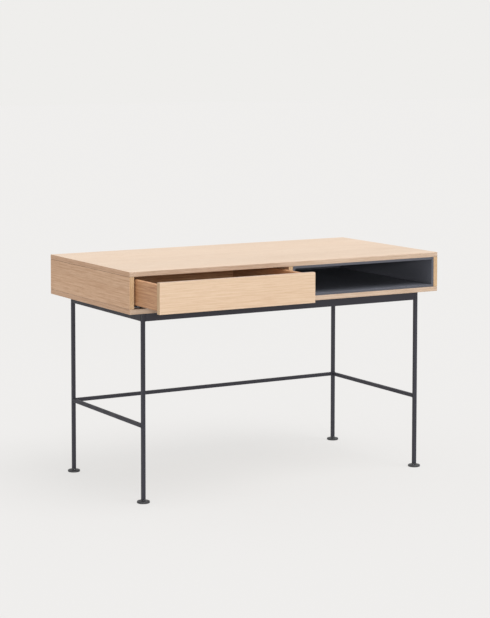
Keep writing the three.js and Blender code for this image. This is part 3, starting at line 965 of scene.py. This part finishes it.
@dataclass
class Runners:
    """Two undermount runners of folded steel: three members, rollers, clips and screws on each side."""

    finishes: Finishes
    sheet: float = 1.5 * MM
    bend: float = 0.5 * MM
    channel_width: float = 22 * MM
    channel_wall: float = 8.5 * MM
    edge: float = 0.3 * MM
    roller_play: float = 0.5 * MM
    rollers: int = 4
    roller_crown: float = 1.2 * MM
    axle_radius: float = 2.0 * MM
    axle_proud: float = 0.3 * MM
    clip_foot: float = 12 * MM
    clip_heel: float = 6.2 * MM
    clip_radius: float = 1.2 * MM
    ribs: int = 5
    rib_start: float = 2.5 * MM
    rib_pitch: float = 3.5 * MM
    rib_width: float = 1.4 * MM
    rib_span: Pair = (2 * MM, 10 * MM)
    rib_height: Pair = (-0.6 * MM, 1 * MM)
    rib_radius: float = 0.4 * MM
    screws: SocketScrew = field(default_factory=lambda: SocketScrew(
        head_radius=3.0 * MM, head_height=1.5 * MM, socket_across=2.0 * MM, socket_depth=0.8 * MM,
        shank=1.5 * MM, segments=30))

    def build(self) -> None:
        """Makes both runners."""
        for side in SIDES:
            self.member(side, "cabinet", "desk", self.fixed_section(side))
            for name, body in (("middle", f"middle_runner_{side}"), ("drawer", "drawer")):
                self.member(side, name, body, self.hooded_section(f"runner_{name}_{side}"))
            self.build_rollers(side)
            self.build_clip(side)
            for number in (1, 2):
                self.build_screw(side, number)

    def member(self, side: str, name: str, body: str, outline: Outline) -> None:
        """Makes one folded member.

        Args:
            side: "left" or "right".
            name: "cabinet", "middle" or "drawer".
            body: the body that it moves with.
            outline: its section on the left, from the box's lower outer edge.
        """
        node = f"runner_{name}_{side}"
        low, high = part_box(node)
        piece = extruded(f"{node}_folded", outline.placed(side, low, high), 1, low.y, high.y)
        hand_over(piece, (self.finishes.zinc,), body, (node,))

    def fixed_section(self, side: str) -> Outline:
        """Draws the fixed member: a wall flange, a web, and a channel that the middle member runs in.

        Args:
            side: "left" or "right".

        Returns:
            The section.
        """
        low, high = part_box(f"runner_cabinet_{side}")
        width, height, t = high.x - low.x, high.z - low.z, self.sheet
        inner, wall = width - self.channel_width, self.channel_wall
        outer, e, b = self.bend + t, self.edge, self.bend
        return Outline.rounded(
            [(0, 0), (width, 0), (width, wall), (width - t, wall), (width - t, t), (inner + t, t),
             (inner + t, wall), (inner, wall), (inner, t), (t, t), (t, height), (0, height)],
            [outer, outer, e, e, b, b, e, e, b, b, e, e])

    def hooded_section(self, node: str) -> Outline:
        """Draws a channel with its opening downwards.

        Args:
            node: the node that gives its size.

        Returns:
            The section.
        """
        low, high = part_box(node)
        width, height, t = high.x - low.x, high.z - low.z, self.sheet
        outer, e, b = self.bend + t, self.edge, self.bend
        return Outline.rounded(
            [(0, 0), (t, 0), (t, height - t), (width - t, height - t), (width - t, 0), (width, 0),
             (width, height), (0, height)],
            [e, e, b, b, e, e, outer, outer])

    def build_rollers(self, side: str) -> None:
        """Makes the middle member's rollers and their axles, spaced along it.

        Args:
            side: "left" or "right".
        """
        low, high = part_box(f"runner_middle_{side}")
        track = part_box(f"runner_cabinet_{side}")[0].z + self.sheet
        radius = (high.z - self.sheet - track) / 2 - self.roller_play
        height = (high.z - self.sheet + track) / 2
        half = (high.x - low.x) / 2 - self.sheet - self.roller_play
        middle = (low.x + high.x) / 2
        crown = self.roller_crown
        tyre = np.concatenate([
            [[0.0, -half], [radius - crown, -half]], arc((radius - crown, -half + crown), crown, -90, 0, 4),
            arc((radius - crown, half - crown), crown, 0, 90, 4), [[0.0, half]]])
        reach = half + self.roller_play + self.sheet + self.axle_proud
        pin = np.array([[0.0, -reach], [self.axle_radius - self.edge, -reach],
                        [self.axle_radius, -reach + self.edge], [self.axle_radius, reach - self.edge],
                        [self.axle_radius - self.edge, reach], [0.0, reach]])
        for number, share in enumerate((np.arange(self.rollers) + 0.5) / self.rollers, start=1):
            centre = Vector((middle, low.y + (high.y - low.y) * share, height))
            roller = turned(f"runner_roller_{side}_{number}", tyre, centre, (1, 0, 0), 32)
            hand_over(roller, (self.finishes.grey,), f"middle_runner_{side}")
            axle = turned(f"runner_axle_{side}_{number}", pin, centre, (1, 0, 0), 20)
            hand_over(axle, (self.finishes.zinc,), f"middle_runner_{side}")

    def build_clip(self, side: str) -> None:
        """Makes the locking clip that joins the drawer to its runner, and its finger ribs.

        Args:
            side: "left" or "right".
        """
        node = f"runner_clip_{side}"
        low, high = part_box(node)
        width, height = high.x - low.x, high.z - low.z
        outline = Outline.rounded(
            [(0, 0), (self.clip_foot, 0), (width, self.clip_heel), (width, height), (0, height)],
            self.clip_radius)
        piece = extruded(f"{node}_body", outline.placed(side, low, high), 1, low.y, high.y)
        hand_over(piece, (self.finishes.grey,), "drawer", (node,))
        near, far = self.rib_span
        span = (low.x + near, low.x + far) if side == "left" else (high.x - far, high.x - near)
        foot, top = (low.z + level for level in self.rib_height)
        for number in range(self.ribs):
            start = low.y + self.rib_start + self.rib_pitch * number
            rib = rounded_box(f"{node}_rib_{number + 1}", Vector((span[0], start, foot)),
                              Vector((span[1], start + self.rib_width, top)), self.rib_radius)
            hand_over(rib, (self.finishes.grey,), "drawer")

    def build_screw(self, side: str, number: int) -> None:
        """Makes one screw through the fixed member into the case.

        Args:
            side: "left" or "right".
            number: 1 for the front screw, 2 for the back one.
        """
        node = f"runner_screw_{side}_{number}"
        low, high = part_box(node)
        outwards = -1 if side == "left" else 1
        head = (low + high) / 2
        head.x = high.x if side == "left" else low.x
        piece = self.screws.build(f"{node}_button", head, (outwards, 0, 0), high.x - low.x)
        hand_over(piece, (self.finishes.zinc,), "desk", (node,))


@dataclass
class Latch:
    """The push latch on the back panel: a moulded housing with two screws, and its sprung plunger."""

    finishes: Finishes
    flange_thickness: float = 3.0 * MM
    flange_radius: float = 1.2 * MM
    barrel: float = 14.0 * MM
    barrel_radius: float = 2.5 * MM
    bore: float = 8.6 * MM
    bore_floor: float = 6.0 * MM
    rim: float = 0.5 * MM
    mouth: float = 0.4 * MM
    mouth_flare: float = 1.06
    # The bore's arcs stop short of half its width, so that every side of its outline keeps some length.
    bore_roundness: float = 0.98
    tip_radius: float = 5.0 * MM
    tip_ease: float = 1.6 * MM
    tip_length: float = 4.0 * MM
    shaft_radius: float = 4.0 * MM
    screw_inset: float = 6 * MM
    screw_length: float = 8 * MM
    screws: SocketScrew = field(default_factory=lambda: SocketScrew(
        head_radius=2.8 * MM, head_height=1.6 * MM, socket_across=1.8 * MM, socket_depth=0.9 * MM,
        shank=1.4 * MM, segments=30))

    def build(self) -> None:
        """Makes the housing, its screws and the plunger."""
        low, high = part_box("latch_housing")
        face = high.y - self.flange_thickness
        flange = rounded_box("latch_flange", Vector((low.x, face, low.z)), high, self.flange_radius)
        hand_over(flange, (self.finishes.black,), "desk", ("latch_housing",))
        middle = (low + high) / 2
        self.build_barrel(middle, low.y, face)
        for side, x in zip(SIDES, (low.x + self.screw_inset, high.x - self.screw_inset)):
            head = Vector((x, face - self.screws.head_height, middle.z))
            piece = self.screws.build(f"latch_screw_{side}", head, (0, 1, 0), self.screw_length)
            hand_over(piece, (self.finishes.zinc,), "desk")
        self.build_plunger()

    def build_barrel(self, middle: Vector, front: float, back: float) -> None:
        """Makes the barrel: a round-cornered square outside and a round bore inside.

        The surface runs through rings of points, from the middle of the back end round the outside, over the
        mouth and down the bore to its floor.

        Args:
            middle: the housing's middle.
            front: the mouth's place on Y.
            back: the flange's front face on Y.
        """
        half, steps = self.barrel / 2, 6
        outside = Outline.rectangle((-half, -half), (half, half), self.barrel_radius, steps)
        hole = self.bore / 2
        inside = Outline.rectangle((-hole, -hole), (hole, hole), hole * self.bore_roundness, steps)
        rims = ((outside.points, back + self.flange_thickness / 2), (outside.points, front + self.rim),
                (outside.points * (1 - self.rim / half), front), (inside.points * self.mouth_flare, front),
                (inside.points, front + self.mouth), (inside.points, back - self.bore_floor / 2))
        closed = ((outside.points * 0, back + self.flange_thickness / 2), *rims,
                  (inside.points * 0, back - self.bore_floor / 2))
        rows = [np.stack([p[:, 0] + middle.x, 0 * p[:, 0] + y, p[:, 1] + middle.z], -1) for p, y in closed]
        faces = grid_faces(len(rows), len(outside.points), wrap=True)
        piece = mesh_object("latch_barrel", np.array(rows), faces)
        piece.data.shade_smooth()
        piece.data.set_sharp_from_angle(angle=math.radians(30))
        hand_over(piece, (self.finishes.black,), "desk")

    def build_plunger(self) -> None:
        """Makes the plunger: a domed bumper on a round shaft."""
        low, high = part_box("latch_plunger")
        length = high.y - low.y
        tip, shaft, ease, rim = self.tip_radius, self.shaft_radius, self.tip_ease, self.rim
        profile = np.concatenate([
            [[0.0, 0.0]], arc((tip - ease, ease), ease, -90, 0),
            arc((tip - rim, self.tip_length - rim), rim, 0, 90, 3),
            [[shaft, self.tip_length], [shaft, length - rim], [shaft - rim, length], [0.0, length]]])
        foot = (low + high) / 2
        foot.y = low.y
        piece = turned("latch_plunger_pin", profile, foot, (0, 1, 0), 36)
        hand_over(piece, (self.finishes.grey,), "plunger", ("latch_plunger",))


@dataclass
class SteelFrame:
    """The welded frame: rails, legs, stretchers and corner plates, a bead at each joint, and its screws."""

    finishes: Finishes
    bar_radius: float = 1.5 * MM
    bead_radius: float = 0.7 * MM
    plate_radius: float = 0.8 * MM
    screws: SocketScrew = field(default_factory=SocketScrew)

    def build(self) -> None:
        """Makes the bars, beads, plates and screws."""
        bars = [f"rail_{s}" for s in ("front", "back", "left", "right")]
        bars += [f"stretcher_{s}" for s in ("back", "left", "right")]
        for node in bars:
            self.build_bar(node)
            self.weld(node)
        for corner in CORNERS:
            self.build_bar(f"leg_{corner}")
            Board(f"frame_plate_{corner}", "desk", "powder_coat", (self.finishes.steel,),
                  radius=self.plate_radius).build()
            self.build_screw(f"frame_screw_{corner}")

    def build_bar(self, node: str) -> None:
        """Makes one tube: a round-cornered rectangle carried along the node's longest side.

        Args:
            node: the node that it stands for.
        """
        low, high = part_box(node)
        size = high - low
        axis = max(range(3), key=lambda a: size[a])
        one, two = [a for a in range(3) if a != axis]
        section = Outline.rectangle((low[one], low[two]), (high[one], high[two]), self.bar_radius, 5)
        piece = extruded(f"{node}_tube", section, axis, low[axis], high[axis])
        hand_over(piece, (self.finishes.steel,), "desk", (node,))

    def weld(self, node: str) -> None:
        """Lays a bead round each end of a bar.

        Args:
            node: the bar's node.
        """
        low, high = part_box(node)
        size = high - low
        axis = 0 if size.x > size.y else 1
        cross = tuple(size[a] for a in range(3) if a != axis)
        for end, place in (("a", low[axis]), ("b", high[axis])):
            centre = (low + high) / 2
            centre[axis] = place
            piece = bead(f"{node}_weld_{end}", centre, axis, cross, self.bar_radius, self.bead_radius)
            hand_over(piece, (self.finishes.steel,), "desk")

    def build_screw(self, node: str) -> None:
        """Makes the screw that holds the case down on one plate.

        Args:
            node: the node that it stands for.
        """
        low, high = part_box(node)
        head = (low + high) / 2
        head.z = low.z
        piece = self.screws.build(f"{node}_button", head, (0, 0, 1), high.z - low.z)
        hand_over(piece, (self.finishes.zinc,), "desk", (node,))


@dataclass
class Feet:
    """The levelling feet: moulded discs on threaded studs, in plugs at the ends of the legs."""

    finishes: Finishes
    thickness: float = 8.0 * MM
    recess_depth: float = 0.8 * MM
    recess_edge: float = 3.5 * MM
    lip: float = 1.8 * MM
    shoulder: float = 2.6 * MM
    hub: float = 5.5 * MM
    hub_step: float = 0.7 * MM
    hub_radius: float = 0.6 * MM
    crown_drop: float = 0.3 * MM
    crown_degrees: float = 62.0
    stud_radius: float = 3.0 * MM
    pitch: float = 1.0 * MM
    thread_depth: float = 0.55 * MM
    point: float = 0.7 * MM
    stud_root: float = 1.0 * MM
    stud_segments: int = 24
    rows_per_turn: int = 6

    def build(self) -> None:
        """Makes a disc and a stud for each corner, and dresses its plug."""
        for corner in CORNERS:
            node = f"foot_{corner}"
            low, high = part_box(node)
            centre = (low + high) / 2
            centre.z = low.z
            disc = turned(f"{node}_disc", self.disc_profile((high.x - low.x) / 2), centre, segments=64)
            hand_over(disc, (self.finishes.black,), node, (node,))
            stud = turned(f"{node}_stud", self.stud_profile(high.z - low.z), centre,
                          segments=self.stud_segments, sharp_degrees=80)
            hand_over(stud, (self.finishes.zinc,), node)
            dress(bpy.data.objects[f"leg_plug_{corner}"], self.finishes.black)

    def disc_profile(self, rim: float) -> np.ndarray:
        """Outlines the disc: a recessed underside, a round rim, a gentle crown and a raised hub.

        Args:
            rim: the disc's radius.

        Returns:
            Radius and height, from the underside up.
        """
        top, inner = self.thickness, rim - self.recess_edge
        crown_height = top - self.hub_step - self.shoulder
        return np.concatenate([
            [[0.0, self.recess_depth], [inner - self.recess_depth, self.recess_depth], [inner, 0.0]],
            arc((rim - self.lip, self.lip), self.lip, -90, 0),
            arc((rim - self.shoulder, crown_height - self.crown_drop), self.shoulder, 0, self.crown_degrees),
            [[self.hub + self.shoulder, top - self.hub_step]],
            arc((self.hub - self.hub_radius, top - self.hub_radius), self.hub_radius, 0, 90, 4),
            [[0.0, top]],
        ])

    def stud_profile(self, top: float) -> np.ndarray:
        """Outlines a threaded rod: its radius falls by a triangle wave of height over pitch, less the turn.

        Args:
            top: the rod's upper end.

        Returns:
            Rows of radius and height, one pair for each facet.
        """
        segments, start = self.stud_segments, self.thickness - self.stud_root
        height = np.arange(start, top - self.point, self.pitch / self.rows_per_turn)
        turn = np.arange(segments) / segments
        wave = np.abs(2 * ((height[:, None] / self.pitch - turn[None, :]) % 1.0) - 1)
        body = np.stack([self.stud_radius - self.thread_depth * wave, height[:, None] + 0 * wave], -1)
        cap = np.ones((1, segments, 1))
        base = np.concatenate([0 * cap, start * cap], -1)
        ring = np.concatenate([(self.stud_radius - self.point) * cap, top * cap], -1)
        return np.concatenate([base, body, ring, ring * (0, 1)])


# ---------------------------------------------------------------- studio


@dataclass(frozen=True)
class Lamp:
    """A far-off soft lamp: its strength, the way its light travels and how many degrees across it looks."""

    name: str
    strength: float
    direction: Triple
    softness: float

    def build(self) -> None:
        """Makes the lamp."""
        lamp = bpy.data.objects.new(self.name, bpy.data.lights.new(self.name, "SUN"))
        lamp.data.energy = self.strength
        lamp.data.angle = math.radians(self.softness)
        lamp.rotation_mode = "QUATERNION"
        lamp.rotation_quaternion = Vector(self.direction).to_track_quat("-Z", "Y")
        bpy.context.scene.collection.objects.link(lamp)


@dataclass
class Studio:
    """A table lit from below and above, two soft lamps in front, and a camera at the front left."""

    backdrop: str = "EFEEEC"
    floor: str = "6A6969"
    floor_glow: float = 0.757
    sky_low: float = 0.50
    sky_high: float = 0.60
    lamps: tuple[Lamp, ...] = (
        Lamp("key_lamp", 1.9, (-0.25, 0.45, -1.0), 40.0),
        Lamp("front_lamp", 1.15, (0.36, 0.92, -0.15), 8.0),
    )
    eye: Triple = (-3.2681, -5.4877, 1.4566)
    yaw: float = 30.38
    pitch: float = 4.23
    roll: float = 0.07
    lens: float = 109.32
    shift: float = -0.1942
    reach: float = 40.0
    floor_drop: float = 0.4 * MM
    floor_lines: int = 9

    def build(self) -> None:
        """Makes the floor, the lights and the camera."""
        self.make_floor()
        self.make_sky()
        for lamp in self.lamps:
            lamp.build()
        self.make_camera()

    def make_floor(self) -> None:
        """A large pale sheet, lit a little from below so that shadows on it stay faint."""
        line = np.linspace(-self.reach, self.reach, self.floor_lines)
        x, y = np.meshgrid(line, line)
        floor = mesh_object("studio_floor", np.stack([x, y, 0 * x - self.floor_drop], -1),
                            grid_faces(self.floor_lines, self.floor_lines))
        material, _, shader = new_material("lit_acrylic_sheet")
        shader.inputs["Base Color"].default_value = linear(self.floor)
        shader.inputs["Roughness"].default_value = 0.9
        shader.inputs["Specular IOR Level"].default_value = 0.0
        shader.inputs["Emission Color"].default_value = linear(self.backdrop)
        shader.inputs["Emission Strength"].default_value = self.floor_glow
        dress(floor, material)

    def make_sky(self) -> None:
        """Light that grows from the horizon to the zenith, behind a plain backdrop as pale as the floor."""
        world = bpy.data.worlds.new("studio_sky")
        bpy.context.scene.world = world
        world.use_nodes = True
        tree = world.node_tree
        tree.nodes.clear()
        seen = add_node(tree, "Background", {"Color": linear(self.backdrop), "Strength": 1.0})
        way = add_node(tree, "TexCoord").outputs["Generated"]
        height = add_node(tree, "SeparateXYZ", {"Vector": way}).outputs["Z"]
        strength = add_node(tree, "MapRange", {
            "Value": height, "From Min": 0.0, "From Max": 1.0, "To Min": self.sky_low,
            "To Max": self.sky_low + self.sky_high}).outputs[0]
        lit = add_node(tree, "Background", {"Color": linear("FFFFFF"), "Strength": strength})
        seen_directly = add_node(tree, "LightPath").outputs["Is Camera Ray"]
        both = add_node(tree, "MixShader", {0: seen_directly, 1: lit.outputs[0], 2: seen.outputs[0]})
        add_node(tree, "OutputWorld", {"Surface": both.outputs[0]})

    def make_camera(self) -> None:
        """The camera, nearly level, its lens dropped a little so that the legs stay near upright."""
        camera = bpy.data.objects.new("camera", bpy.data.cameras.new("camera"))
        camera.data.sensor_width = 36.0
        camera.data.lens = self.lens
        camera.data.shift_y = self.shift
        camera.data.clip_end = 200.0
        camera.location = self.eye
        turn = Matrix.Rotation(-math.radians(self.yaw), 4, "Z")
        tilt = Matrix.Rotation(math.pi / 2 - math.radians(self.pitch), 4, "X")
        lean = Matrix.Rotation(math.radians(self.roll), 4, "Z")
        camera.rotation_mode = "QUATERNION"
        camera.rotation_quaternion = (turn @ tilt @ lean).to_quaternion()
        bpy.context.scene.collection.objects.link(camera)
        bpy.context.scene.camera = camera


def main() -> None:
    """Loads the frame and builds each sub-assembly around it."""
    logging.basicConfig(level=logging.INFO, format="%(name)s: %(message)s")
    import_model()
    bpy.context.scene.view_settings.view_transform = "Standard"
    Studio().build()
    finishes = Finishes.make()
    for assembly in (CaseWork, NicheLining, Drawer, Runners, Latch, SteelFrame, Feet):
        assembly(finishes).build()


if __name__ == "__main__":
    main()
